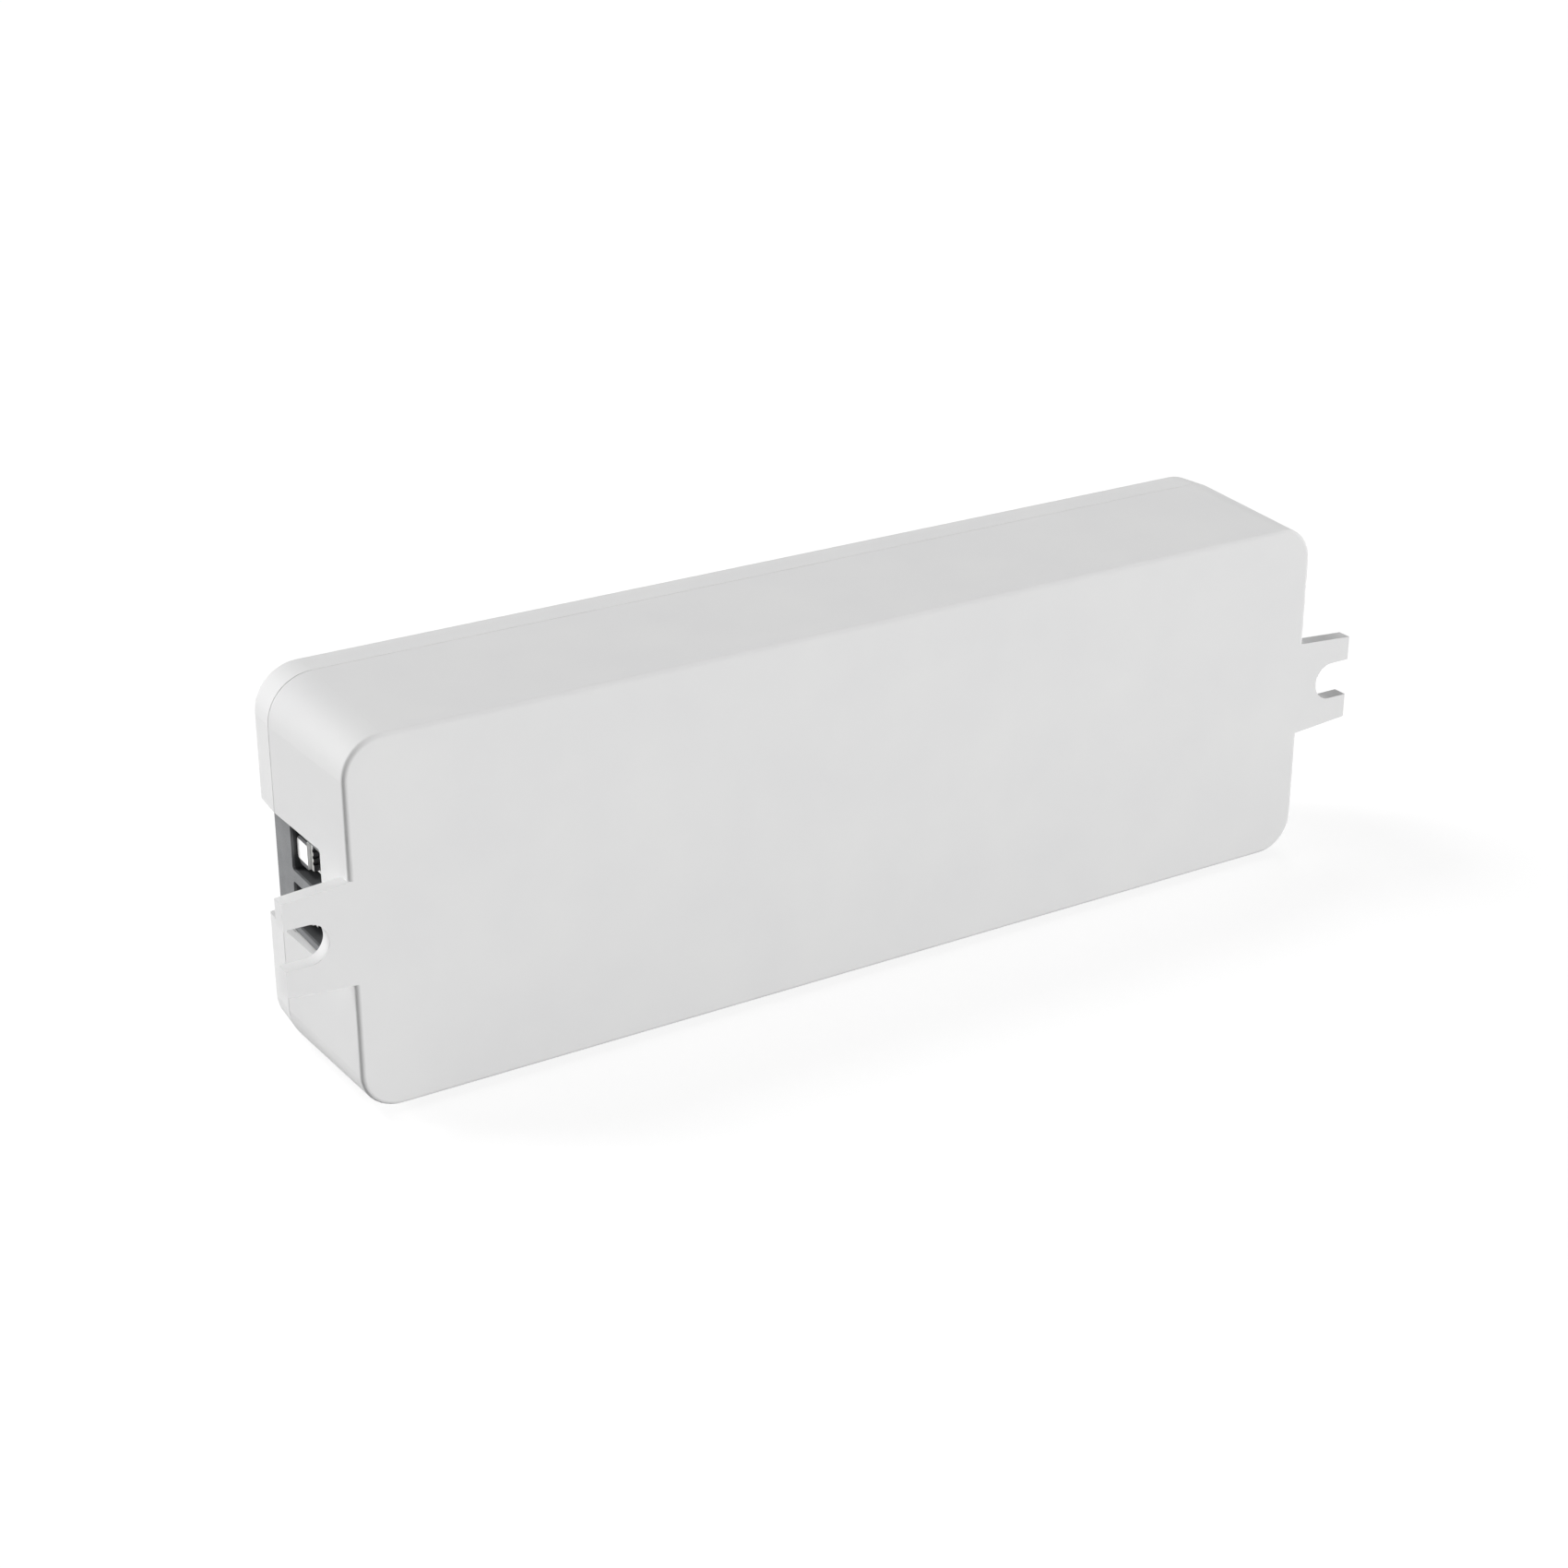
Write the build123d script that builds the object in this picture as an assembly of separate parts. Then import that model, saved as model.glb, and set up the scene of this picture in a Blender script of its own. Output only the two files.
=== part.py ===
from build123d import *
import math
import os

# A white plastic LED controller, in millimetres. Every piece is drawn lying on the mounting
# face: X runs along the length, Y across it and Z away from that face, with the origin at the
# face's centre. The pieces are then stood on the long side together, so that X stays, the
# mounting face looks along -Y and the side wall that was at -Y is on top.

# Moulded housing: a deep tray with the mounting plate as its floor, and a shallow lid
PLATE_LENGTH = 168.0
PLATE_WIDTH = 56.9
PLATE_THICKNESS = 2.4
CORNER_RADIUS = 6.0
HOUSING_DEPTH = 29.7
TRAY_DEPTH = 23.6
TRAY_DRAFT = 2.5
LID_DRAFT = 3.4
WALL = 2.0
LID_THICKNESS = 2.0
PLATE_EDGE_ROUND = 0.75
LID_EDGE_ROUND = 0.6
PARTING_CHAMFER = 0.08

# Mounting ears with screw slots that open at the tip
EAR_REACH = 9.9
EAR_ROOT_WIDTH = 16.0
EAR_TIP_WIDTH = 14.2
SLOT_WIDTH = 6.2
SLOT_LENGTH = 6.6

# Lap joint between tray and lid, and the lid's snap hooks
LAP_DEPTH = 2.0
LAP_GAP = 0.15
HOOKS_PER_SIDE = 3
HOOK_SPACING = 46.0
HOOK_WIDTH = 8.0
HOOK_THICKNESS = 1.5
HOOK_DROP = 6.5
HOOK_BARB = 0.9
BARB_HEIGHT = 2.0
HOOK_GAP = 0.2
POCKET_DEPTH = 1.1

# Floor ribs and the bosses that carry the circuit board
RIB_THICKNESS = 1.2
RIB_HEIGHT = 1.8
BOSS_RADIUS = 3.2
BOSS_CORE_RADIUS = 1.25
BOSS_SETBACK = 5.5
BOSS_EDGE = 4.2
GUSSET_REACH = 2.6
GUSSET_THICKNESS = 1.0

# End notches, in which the terminal blocks stand
NOTCH_FLOOR = 9.0
NOTCH_GAP = 0.2
NOTCH_CORNER = 0.6

# Circuit board and its screws
BOARD_THICKNESS = 1.6
BOARD_GAP = 0.7
BOARD_CORNER = 2.0
BOARD_SCREW_RADIUS = 1.2
BOARD_SCREW_HOLE = 1.6
BOARD_SCREW_HEAD_RADIUS = 2.7
BOARD_SCREW_HEAD_HEIGHT = 1.9
BOARD_SCREW_TIP_GAP = 1.0

# Terminal blocks: one pole is a wire chamber with a rising cage under its screw
INPUT_POLES = 2
OUTPUT_POLES = 4
POLE_PITCH = 8.8
PARTITION = 1.8
END_WALL_EXTRA = 0.15
BLOCK_LENGTH = 14.0
BLOCK_SETBACK = 0.25
BLOCK_RECESS = 2.3
BLOCK_CHAMFER = 0.3
CHAMBER_FLOOR = 1.2
CHAMBER_HEIGHT = 11.0
CHAMBER_DEPTH = 9.6
CHAMBER_CORNER = 0.5
CAGE_SIDE_GAP = 1.3
CAGE_FLOOR_GAP = 0.4
CAGE_SETBACK = 0.8
CAGE_LENGTH = 6.0
CAGE_WALL = 0.5
CAGE_BASE = 1.0
CAGE_HEAD = 3.7
CAGE_HEIGHT = 10.3
CAGE_ROUND = 1.5
STIRRUP_SETBACK = 1.4
STIRRUP_BEND = 0.9
BAR_THICKNESS = 0.8
BAR_WIDTH = 3.6
BAR_GAP = 0.1
BAR_SETBACK = 1.3
BAR_LIP = 0.75
BAR_GROOVES = 3
GROOVE_WIDTH = 0.5
GROOVE_DEPTH = 0.3
PIN_WIDTH = 1.2
PIN_STANDOUT = 1.6
PIN_HOLE_GAP = 0.15
CLAMP_SCREW_RADIUS = 1.5
CLAMP_HEAD_RADIUS = 2.45
CLAMP_HEAD_HEIGHT = 2.2
CLAMP_HEAD_GAP = 0.25
SCREW_RUNNING_GAP = 0.05
LEDGE_THICKNESS = 1.0
SLOT_CUT = 0.7

# Components on the board; the places are shares of the free board between the blocks
FUSE_PLACE = (0.06, 0.45)
POLARITY_PLACE = (0.07, -0.35)
CAPACITOR_PLACES = ((0.17, 0.40), (0.17, -0.40))
INDUCTOR_PLACE = (0.31, 0.45)
REGULATOR_PLACE = (0.31, -0.30)
CATCH_DIODE_PLACE = (0.41, 0.45)
PROCESSOR_PLACE = (0.50, -0.10)
CRYSTAL_PLACE = (0.50, 0.55)
RADIO_PLACE = (0.66, -0.30)
STATUS_LED_PLACE = (0.62, 0.60)
CERAMIC_PLACES = ((0.255, 0.15), (0.255, -0.45), (0.37, -0.60), (0.43, -0.45), (0.57, 0.15))
CHANNELS = 3
CHANNEL_PITCH = 11.0
TRANSISTOR_SHARE = 0.93
SHUNT_SHARE = 0.84
GATE_RESISTOR_SHARE = 0.78

# Two-ended block components, each as length, width and height
FUSE_SIZE = (6.1, 2.7, 2.7)
SHUNT_SIZE = (6.4, 3.2, 0.7)
RESISTOR_SIZE = (2.0, 1.25, 0.5)
CERAMIC_SIZE = (3.2, 1.6, 1.3)
END_METAL = 0.05

# Moulded components with leads
REGULATOR_SIZE = (4.9, 3.9, 1.6)
REGULATOR_PINS = 4
REGULATOR_PITCH = 1.27
PROCESSOR_SIZE = (7.0, 7.0, 1.5)
PROCESSOR_PINS = 8
PROCESSOR_PITCH = 0.8
CHIP_STANDOFF = 0.15
CHIP_LEAD = 0.25
CHIP_FOOT = 0.6
MOULD_BEVEL = 0.25
DIODE_SIZE = (4.3, 2.6, 2.2)
DIODE_FOOT = 0.9
TRANSISTOR_SIZE = (6.1, 6.5, 2.3)
TAB_SIZE = (8.0, 5.3, 0.5)
TAB_SHIFT = 1.9
TRANSISTOR_LEAD = (2.8, 0.8, 0.5)
TRANSISTOR_LEAD_SHIFT = 4.2
TRANSISTOR_LEAD_PITCH = 4.56

# Components with cans, cores and through leads
CAPACITOR_RADIUS = 5.0
CAPACITOR_HEIGHT = 15.5
CAPACITOR_CRIMP = 0.5
LEAD_SPACING = 5.0
LEAD_RADIUS = 0.3
LEAD_HOLE_GAP = 0.15
INDUCTOR_SIZE = 10.0
INDUCTOR_HEIGHT = 5.0
INDUCTOR_CORNER = 1.7
INDUCTOR_WELL_RADIUS = 4.0
INDUCTOR_WELL_DEPTH = 0.6
INDUCTOR_CORE_RADIUS = 3.0
INDUCTOR_FOOT = 1.6
CRYSTAL_LENGTH = 10.6
CRYSTAL_WIDTH = 4.4
CRYSTAL_HEIGHT = 3.4
CRYSTAL_FLANGE = 0.4
CRYSTAL_ROUND = 0.5
LAMP_SIZE = (3.2, 2.8, 1.9)
LAMP_MARK = 0.5
LAMP_WELL_RADIUS = 1.2
LAMP_WELL_DEPTH = 0.5

# Radio module
RADIO_LENGTH = 20.0
RADIO_WIDTH = 15.0
RADIO_THICKNESS = 0.9
CASTELLATION_RADIUS = 0.5
CASTELLATIONS = 7
SHIELD_LENGTH = 12.0
SHIELD_HEIGHT = 2.2
SHIELD_WALL = 0.25
SHIELD_ROUND = 0.4
SHIELD_VENT_RADIUS = 0.6

# Heights, ends and widths that follow from the sizes above
board_top = NOTCH_FLOOR + NOTCH_GAP
board_low = board_top - BOARD_THICKNESS
block_face = PLATE_LENGTH / 2 - BLOCK_SETBACK
block_back = block_face - BLOCK_LENGTH
block_height = HOUSING_DEPTH - BLOCK_RECESS - board_top
boss_x = block_back - BOSS_SETBACK
cage_width = POLE_PITCH - PARTITION - 2 * CAGE_SIDE_GAP
cage_middle = CAGE_SETBACK + CAGE_LENGTH / 2
cage_low = CHAMBER_FLOOR + CAGE_FLOOR_GAP
cage_top = cage_low + CAGE_HEIGHT
bar_top = cage_top - CAGE_HEAD - BAR_GAP
chamber_top = CHAMBER_FLOOR + CHAMBER_HEIGHT
ledge_top = chamber_top + LEDGE_THICKNESS
pin_x = CHAMBER_DEPTH - BAR_THICKNESS


def lean(depth):
    """How far the tray's walls have leaned out at this depth."""
    return depth * math.tan(math.radians(TRAY_DRAFT))


board_length = PLATE_LENGTH + 2 * (lean(board_low) - WALL - BOARD_GAP)
board_width = PLATE_WIDTH + 2 * (lean(board_low) - WALL - BOARD_GAP)
boss_y = board_width / 2 - BOSS_EDGE


def slab(length, width, low, high, middle=(0, 0)):
    """A plain block between two heights."""
    block = Box(length, width, high - low, align=(Align.CENTER, Align.CENTER, Align.MIN))
    return Pos(middle[0], middle[1], low) * block


def post(radius, low, high, middle=(0, 0)):
    """A round post, or the tool for a round hole, between two heights."""
    rod = Cylinder(radius, high - low, align=(Align.CENTER, Align.CENTER, Align.MIN))
    return Pos(middle[0], middle[1], low) * rod


def tray_section(inset, low, high):
    """The space inside the tray's drafted outline, set in by inset, between two depths."""
    grow = lean(low) - inset
    outline = RectangleRounded(PLATE_LENGTH + 2 * grow, PLATE_WIDTH + 2 * grow, CORNER_RADIUS + grow)
    return extrude(Pos(0, 0, low) * outline, amount=high - low, taper=-TRAY_DRAFT)


def lid_section(inset, high):
    """The space inside the lid's drafted outline, set in by inset, from the parting plane up."""
    grow = lean(TRAY_DEPTH) - inset
    outline = RectangleRounded(PLATE_LENGTH + 2 * grow, PLATE_WIDTH + 2 * grow, CORNER_RADIUS + grow)
    return extrude(Pos(0, 0, TRAY_DEPTH) * outline, amount=high - TRAY_DEPTH, taper=LID_DRAFT)


def block_width(poles):
    """Width of a terminal block, across the controller."""
    return poles * POLE_PITCH + 2 * END_WALL_EXTRA


def pole_offsets(poles):
    """Where the poles' middles lie across a terminal block."""
    return [(index - (poles - 1) / 2) * POLE_PITCH for index in range(poles)]


def both_ends():
    """Each end's turn about Z, with the number of poles that its terminal block has."""
    return ((180, INPUT_POLES), (0, OUTPUT_POLES))


def end_opening(poles):
    """The room that a terminal block takes from the tray's end wall and from the lid."""
    inner = block_back - NOTCH_GAP
    outer = PLATE_LENGTH / 2 + lean(HOUSING_DEPTH) + WALL
    room = slab(outer - inner, block_width(poles) + 2 * NOTCH_GAP, NOTCH_FLOOR, HOUSING_DEPTH + WALL,
                ((inner + outer) / 2, 0))
    return fillet(room.edges().filter_by(Axis.X).group_by(Axis.Z)[0], NOTCH_CORNER)


def ear():
    """A mounting ear that points along +X."""
    root = PLATE_LENGTH / 2 - WALL
    tip = PLATE_LENGTH / 2 + EAR_REACH
    outline = Polygon((root, -EAR_ROOT_WIDTH / 2), (tip, -EAR_TIP_WIDTH / 2),
                      (tip, EAR_TIP_WIDTH / 2), (root, EAR_ROOT_WIDTH / 2), align=None)
    round_middle = tip - SLOT_LENGTH + SLOT_WIDTH / 2
    outline -= Pos(round_middle, 0) * Circle(SLOT_WIDTH / 2)
    outline -= Pos(round_middle + SLOT_LENGTH / 2, 0) * Rectangle(SLOT_LENGTH, SLOT_WIDTH)
    return extrude(outline, amount=PLATE_THICKNESS)


def boss_places():
    """Where the four bosses, and the board's screws, stand."""
    return [(x, y) for x in (-boss_x, boss_x) for y in (-boss_y, boss_y)]


def boss(middle):
    """A board boss with a core hole for its screw and four gussets at its foot."""
    body = post(BOSS_RADIUS, PLATE_THICKNESS / 2, board_low, middle)
    foot = PLATE_THICKNESS / 2
    rise = (board_low + PLATE_THICKNESS) / 2
    reach = BOSS_RADIUS + GUSSET_REACH
    web = Polygon((-reach, foot), (reach, foot), (reach, PLATE_THICKNESS), (BOSS_RADIUS, rise),
                  (-BOSS_RADIUS, rise), (-reach, PLATE_THICKNESS), align=None)
    gusset = extrude(Plane.XZ * web, amount=GUSSET_THICKNESS / 2, both=True)
    body += Pos(middle[0], middle[1], 0) * gusset
    return body


def boss_core(middle):
    """The core hole in a boss."""
    return post(BOSS_CORE_RADIUS, PLATE_THICKNESS, board_top, middle)


def floor_ribs():
    """Two long ribs that stiffen the mounting plate, and the cross ribs that join them."""
    run = 2 * (boss_x - BOSS_RADIUS - GUSSET_REACH)
    spread = PLATE_WIDTH / 4
    low = PLATE_THICKNESS / 2
    high = PLATE_THICKNESS + RIB_HEIGHT
    ribs = slab(run, RIB_THICKNESS, low, high, (0, spread))
    long_rib = slab(run, RIB_THICKNESS, low, high, (0, -spread))
    cross_ribs = [slab(RIB_THICKNESS, 2 * spread, low, high, (share * run / 3, 0)) for share in (-1, 0, 1)]
    return ribs + [long_rib] + cross_ribs


def hook_places():
    """Where the snap hooks sit along each side wall."""
    return [(index - (HOOKS_PER_SIDE - 1) / 2) * HOOK_SPACING for index in range(HOOKS_PER_SIDE)]


hook_tip = TRAY_DEPTH - HOOK_DROP
hook_face = PLATE_WIDTH / 2 + lean(hook_tip) - WALL - HOOK_GAP
barb_top = hook_tip + BARB_HEIGHT


def hook(along):
    """A snap hook on the +Y side: a tongue from the lid's roof with a barb at its end."""
    root = HOUSING_DEPTH - LID_THICKNESS / 2
    lead = BARB_HEIGHT / 3
    outline = Polygon((hook_face - HOOK_THICKNESS, hook_tip), (hook_face, hook_tip),
                      (hook_face + HOOK_BARB, barb_top - lead), (hook_face + HOOK_BARB, barb_top),
                      (hook_face, barb_top), (hook_face, root), (hook_face - HOOK_THICKNESS, root),
                      align=None)
    return Pos(along, 0, 0) * extrude(Plane.YZ * outline, amount=HOOK_WIDTH / 2, both=True)


def hook_pocket(along):
    """The pocket in the +Y side wall that a hook's barb snaps into."""
    inner = hook_face - HOOK_THICKNESS
    outer = PLATE_WIDTH / 2 + lean(hook_tip) - WALL + POCKET_DEPTH
    return slab(HOOK_WIDTH + 4 * HOOK_GAP, outer - inner, hook_tip - HOOK_GAP, barb_top + HOOK_GAP,
                (along, (inner + outer) / 2))


def base_tray():
    """The mounting plate, its ears and the drafted walls, in one moulding."""
    body = tray_section(0, 0, TRAY_DEPTH)
    body = fillet(body.edges().group_by(Axis.Z)[0], PLATE_EDGE_ROUND)
    body = chamfer(body.edges().group_by(Axis.Z)[-1], PARTING_CHAMFER)
    body -= tray_section(WALL, PLATE_THICKNESS, TRAY_DEPTH + LAP_DEPTH)
    body -= tray_section(WALL / 2, TRAY_DEPTH - LAP_DEPTH, TRAY_DEPTH + LAP_DEPTH)
    ears = [Rot(0, 0, turn) * ear() for turn in (0, 180)]
    body += ears + [floor_ribs()] + [boss(middle) for middle in boss_places()]
    cuts = [boss_core(middle) for middle in boss_places()]
    cuts += [Rot(0, 0, turn) * hook_pocket(along) for along in hook_places() for turn in (0, 180)]
    cuts += [Rot(0, 0, turn) * end_opening(poles) for turn, poles in both_ends()]
    return body - cuts


def lid():
    """The snap-on lid: a shallow drafted cap, its lap tongue and its hooks."""
    body = lid_section(0, HOUSING_DEPTH)
    body = fillet(body.edges().group_by(Axis.Z)[-1], LID_EDGE_ROUND)
    body = chamfer(body.edges().group_by(Axis.Z)[0], PARTING_CHAMFER)
    body -= lid_section(WALL, HOUSING_DEPTH - LID_THICKNESS)
    tongue = tray_section(WALL / 2 + LAP_GAP, TRAY_DEPTH - LAP_DEPTH + LAP_GAP, TRAY_DEPTH)
    tongue -= tray_section(WALL, TRAY_DEPTH - LAP_DEPTH, TRAY_DEPTH + LAP_DEPTH)
    hooks = [Rot(0, 0, turn) * hook(along) for along in hook_places() for turn in (0, 180)]
    body += [tongue] + hooks
    return body - [Rot(0, 0, turn) * end_opening(poles) for turn, poles in both_ends()]


def place(share):
    """A place on the board: shares of the free length and of half the width."""
    return (-block_back + share[0] * 2 * block_back, share[1] * board_width / 2)


def block_holes(poles):
    """The holes in the board for a terminal block's pins."""
    radius = math.hypot(PIN_WIDTH, BAR_THICKNESS) / 2 + PIN_HOLE_GAP
    x = block_face - pin_x - BAR_THICKNESS / 2
    return [post(radius, 0, board_top, (x, y)) for y in pole_offsets(poles)]


def lead_places(middle):
    """Where a two-lead part's leads pass through the board."""
    return [(middle[0] + side * LEAD_SPACING / 2, middle[1]) for side in (-1, 1)]


def circuit_board():
    """The board, with the holes for its screws, pins and leads."""
    outline = RectangleRounded(board_length, board_width, BOARD_CORNER)
    body = extrude(Pos(0, 0, board_low) * outline, amount=BOARD_THICKNESS)
    holes = [post(BOARD_SCREW_HOLE, 0, board_top, middle) for middle in boss_places()]
    for turn, poles in both_ends():
        holes += [Rot(0, 0, turn) * hole for hole in block_holes(poles)]
    for share in CAPACITOR_PLACES + (CRYSTAL_PLACE,):
        for middle in lead_places(place(share)):
            holes.append(post(LEAD_RADIUS + LEAD_HOLE_GAP, 0, board_top, middle))
    return body - holes


def screw(head_radius, head_height, radius, tip, seat, middle):
    """A screw with a rounded head that seats at one height and a slot across the head."""
    head = post(head_radius, seat, seat + head_height, middle)
    head = fillet(head.edges().group_by(Axis.Z)[-1], head_height / 3)
    head -= slab(2 * head_radius, SLOT_CUT, seat + head_height / 2, seat + 2 * head_height, middle)
    shank = post(radius, tip, seat, middle)
    shank = chamfer(shank.edges().group_by(Axis.Z)[0], radius / 4)
    return head + shank


def board_screws():
    """The four screws that hold the board on its bosses."""
    tip = PLATE_THICKNESS + BOARD_SCREW_TIP_GAP
    return [screw(BOARD_SCREW_HEAD_RADIUS, BOARD_SCREW_HEAD_HEIGHT, BOARD_SCREW_RADIUS, tip,
                  board_top, middle) for middle in boss_places()]


def on_end(shape, turn):
    """Takes a terminal block's piece from its own frame to its end of the board.

    In that frame X runs in from the block's face, Y across the poles and Z up from the board.
    """
    return Rot(0, 0, turn) * (Pos(block_face, 0, board_top) * (Rot(0, 0, 180) * shape))


def block_housing(poles):
    """A terminal block's housing: wire chambers in its face and screw bores in its top."""
    body = slab(BLOCK_LENGTH, block_width(poles), 0, block_height, (BLOCK_LENGTH / 2, 0))
    body = chamfer(body.edges().group_by(Axis.Z)[-1].filter_by(Axis.Y), BLOCK_CHAMFER)
    cuts = []
    for y in pole_offsets(poles):
        chamber = slab(CHAMBER_DEPTH, POLE_PITCH - PARTITION, CHAMBER_FLOOR, chamber_top,
                       (CHAMBER_DEPTH / 2, y))
        cuts.append(fillet(chamber.edges().filter_by(Axis.X), CHAMBER_CORNER))
        cuts.append(post(CLAMP_HEAD_RADIUS + CLAMP_HEAD_GAP, ledge_top, block_height, (cage_middle, y)))
        cuts.append(post(CLAMP_SCREW_RADIUS + CLAMP_HEAD_GAP, chamber_top, ledge_top, (cage_middle, y)))
        cuts.append(slab(BAR_THICKNESS + 2 * PIN_HOLE_GAP, PIN_WIDTH + 2 * PIN_HOLE_GAP, 0,
                         CHAMBER_FLOOR, (pin_x + BAR_THICKNESS / 2, y)))
    return body - cuts


def clamp_cage(y):
    """The rising cage of one pole: a thick head with the screw's thread, hung in a wire stirrup."""
    head_low = cage_top - CAGE_HEAD
    head = slab(CAGE_LENGTH, cage_width, head_low, cage_top, (cage_middle, y))
    head = fillet(head.edges().filter_by(Axis.X).group_by(Axis.Z)[-1], CAGE_ROUND)
    head -= post(CLAMP_SCREW_RADIUS + SCREW_RUNNING_GAP, head_low, cage_top, (cage_middle, y))
    length = CAGE_LENGTH - 2 * STIRRUP_SETBACK
    arm_top = cage_top - CAGE_ROUND
    stirrup = slab(length, cage_width + 2 * CAGE_WALL, cage_low, arm_top, (cage_middle, y))
    stirrup = fillet(stirrup.edges().filter_by(Axis.X).group_by(Axis.Z)[0], STIRRUP_BEND)
    window = slab(length, cage_width, cage_low + CAGE_BASE, arm_top, (cage_middle, y))
    window = fillet(window.edges().filter_by(Axis.X).group_by(Axis.Z)[0], CAGE_WALL / 2)
    return head + (stirrup - window)


def contact_bar(y):
    """The fixed bar of one pole: a wide lip, grooves that grip, and a leg down to the board pin."""
    middle = (pin_x + BAR_THICKNESS + BAR_SETBACK) / 2
    reach = pin_x + BAR_THICKNESS - BAR_SETBACK
    body = slab(reach, BAR_WIDTH, bar_top - BAR_THICKNESS, bar_top, (middle, y))
    body += slab(BAR_LIP, cage_width, bar_top - BAR_THICKNESS, bar_top, (BAR_SETBACK + BAR_LIP / 2, y))
    for index in range(BAR_GROOVES):
        across = y + (index - (BAR_GROOVES - 1) / 2) * 2 * GROOVE_WIDTH
        body -= slab(reach, GROOVE_WIDTH, bar_top - BAR_THICKNESS, bar_top - BAR_THICKNESS + GROOVE_DEPTH,
                     (middle, across))
    leg = (pin_x + BAR_THICKNESS / 2, y)
    body += slab(BAR_THICKNESS, BAR_WIDTH, CHAMBER_FLOOR, bar_top, leg)
    return body + slab(BAR_THICKNESS, PIN_WIDTH, -BOARD_THICKNESS - PIN_STANDOUT, CHAMBER_FLOOR, leg)


def clamp_screw(y):
    """The screw of one pole, seated on the housing's ledge and bearing on the fixed bar."""
    return screw(CLAMP_HEAD_RADIUS, CLAMP_HEAD_HEIGHT, CLAMP_SCREW_RADIUS,
                 bar_top + SCREW_RUNNING_GAP, ledge_top, (cage_middle, y))


def leaded_chip(size, pins, pitch, turns):
    """A moulded chip that stands on the board, with a row of bent leads on each turned side."""
    length, width, height = size
    body = slab(length, width, CHIP_STANDOFF, height)
    body = chamfer(body.edges().filter_by(Axis.Z, reverse=True), MOULD_BEVEL)
    middle = (height + CHIP_STANDOFF) / 2
    knee = CHIP_FOOT / 2
    bend = Polygon((0, middle), (CHIP_LEAD + knee, middle), (CHIP_LEAD + knee, CHIP_LEAD),
                   (CHIP_LEAD + 3 * knee, CHIP_LEAD), (CHIP_LEAD + 3 * knee, 0), (knee, 0),
                   (knee, middle - CHIP_LEAD), (0, middle - CHIP_LEAD), align=None)
    bent = extrude(Plane.XZ * bend, amount=pitch / 4, both=True)
    leads = []
    for turn in turns:
        reach = width if turn % 180 else length
        for index in range(pins):
            along = (index - (pins - 1) / 2) * pitch
            leads.append(Rot(0, 0, turn) * (Pos(reach / 2 - MOULD_BEVEL, along, 0) * bent))
    return body + leads


def power_transistor():
    """A flat power transistor: moulded body, soldered tab and two leads."""
    length, width, height = TRANSISTOR_SIZE
    body = slab(length, width, CHIP_STANDOFF, height)
    body = chamfer(body.edges().group_by(Axis.Z)[-1], MOULD_BEVEL)
    tab_length, tab_width, tab_height = TAB_SIZE
    body += slab(tab_length, tab_width, 0, tab_height, (TAB_SHIFT, 0))
    lead_length, lead_width, lead_height = TRANSISTOR_LEAD
    for side in (-1, 1):
        foot = (-TRANSISTOR_LEAD_SHIFT, side * TRANSISTOR_LEAD_PITCH / 2)
        body += slab(lead_length, lead_width, 0, lead_height, foot)
    return body


def leaded_diode():
    """A moulded diode with a bent foot at each end."""
    length, width, height = DIODE_SIZE
    body = slab(length, width, CHIP_STANDOFF, height)
    body = chamfer(body.edges().group_by(Axis.Z)[-1], MOULD_BEVEL)
    for side in (-1, 1):
        body += slab(DIODE_FOOT, width / 2, 0, height / 2, (side * length / 2, 0))
    return body


def through_leads():
    """Two leads that run down through the board, on the far side of a part's base."""
    return [post(LEAD_RADIUS, -BOARD_THICKNESS - PIN_STANDOUT, 0, middle)
            for middle in lead_places((0, 0))]


def capacitor():
    """An upright electrolytic capacitor with a crimped can and a scored vent in its top."""
    crimp = CAPACITOR_CRIMP
    radius = CAPACITOR_RADIUS
    height = CAPACITOR_HEIGHT
    with BuildPart() as can:
        with BuildSketch(Plane.XZ):
            with BuildLine():
                Polyline((0, height), (0, 0), (radius, 0), (radius, 2 * crimp),
                         (radius - crimp, 3 * crimp), (radius, 4 * crimp), (radius, height - crimp),
                         (radius - crimp, height), (0, height))
            make_face()
        revolve(axis=Axis.Z)
    vent = slab(2 * (radius - 3 * crimp), crimp / 2, height - crimp / 2, height)
    body = can.part - [Rot(0, 0, turn) * vent for turn in (45, 135)]
    return body + through_leads()


def power_inductor():
    """A shielded inductor: a square ferrite with cut corners, a winding well and two feet."""
    floor = INDUCTOR_HEIGHT - INDUCTOR_WELL_DEPTH
    body = slab(INDUCTOR_SIZE, INDUCTOR_SIZE, CHIP_STANDOFF, INDUCTOR_HEIGHT)
    body = chamfer(body.edges().filter_by(Axis.Z), INDUCTOR_CORNER)
    body -= post(INDUCTOR_WELL_RADIUS, floor, INDUCTOR_HEIGHT)
    body += post(INDUCTOR_CORE_RADIUS, floor - INDUCTOR_WELL_DEPTH, INDUCTOR_HEIGHT - END_METAL)
    for side in (-1, 1):
        foot = (side * (INDUCTOR_SIZE - INDUCTOR_FOOT / 2) / 2, 0)
        body += slab(INDUCTOR_FOOT, INDUCTOR_SIZE / 2, 0, INDUCTOR_FOOT, foot)
    return body


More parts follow.
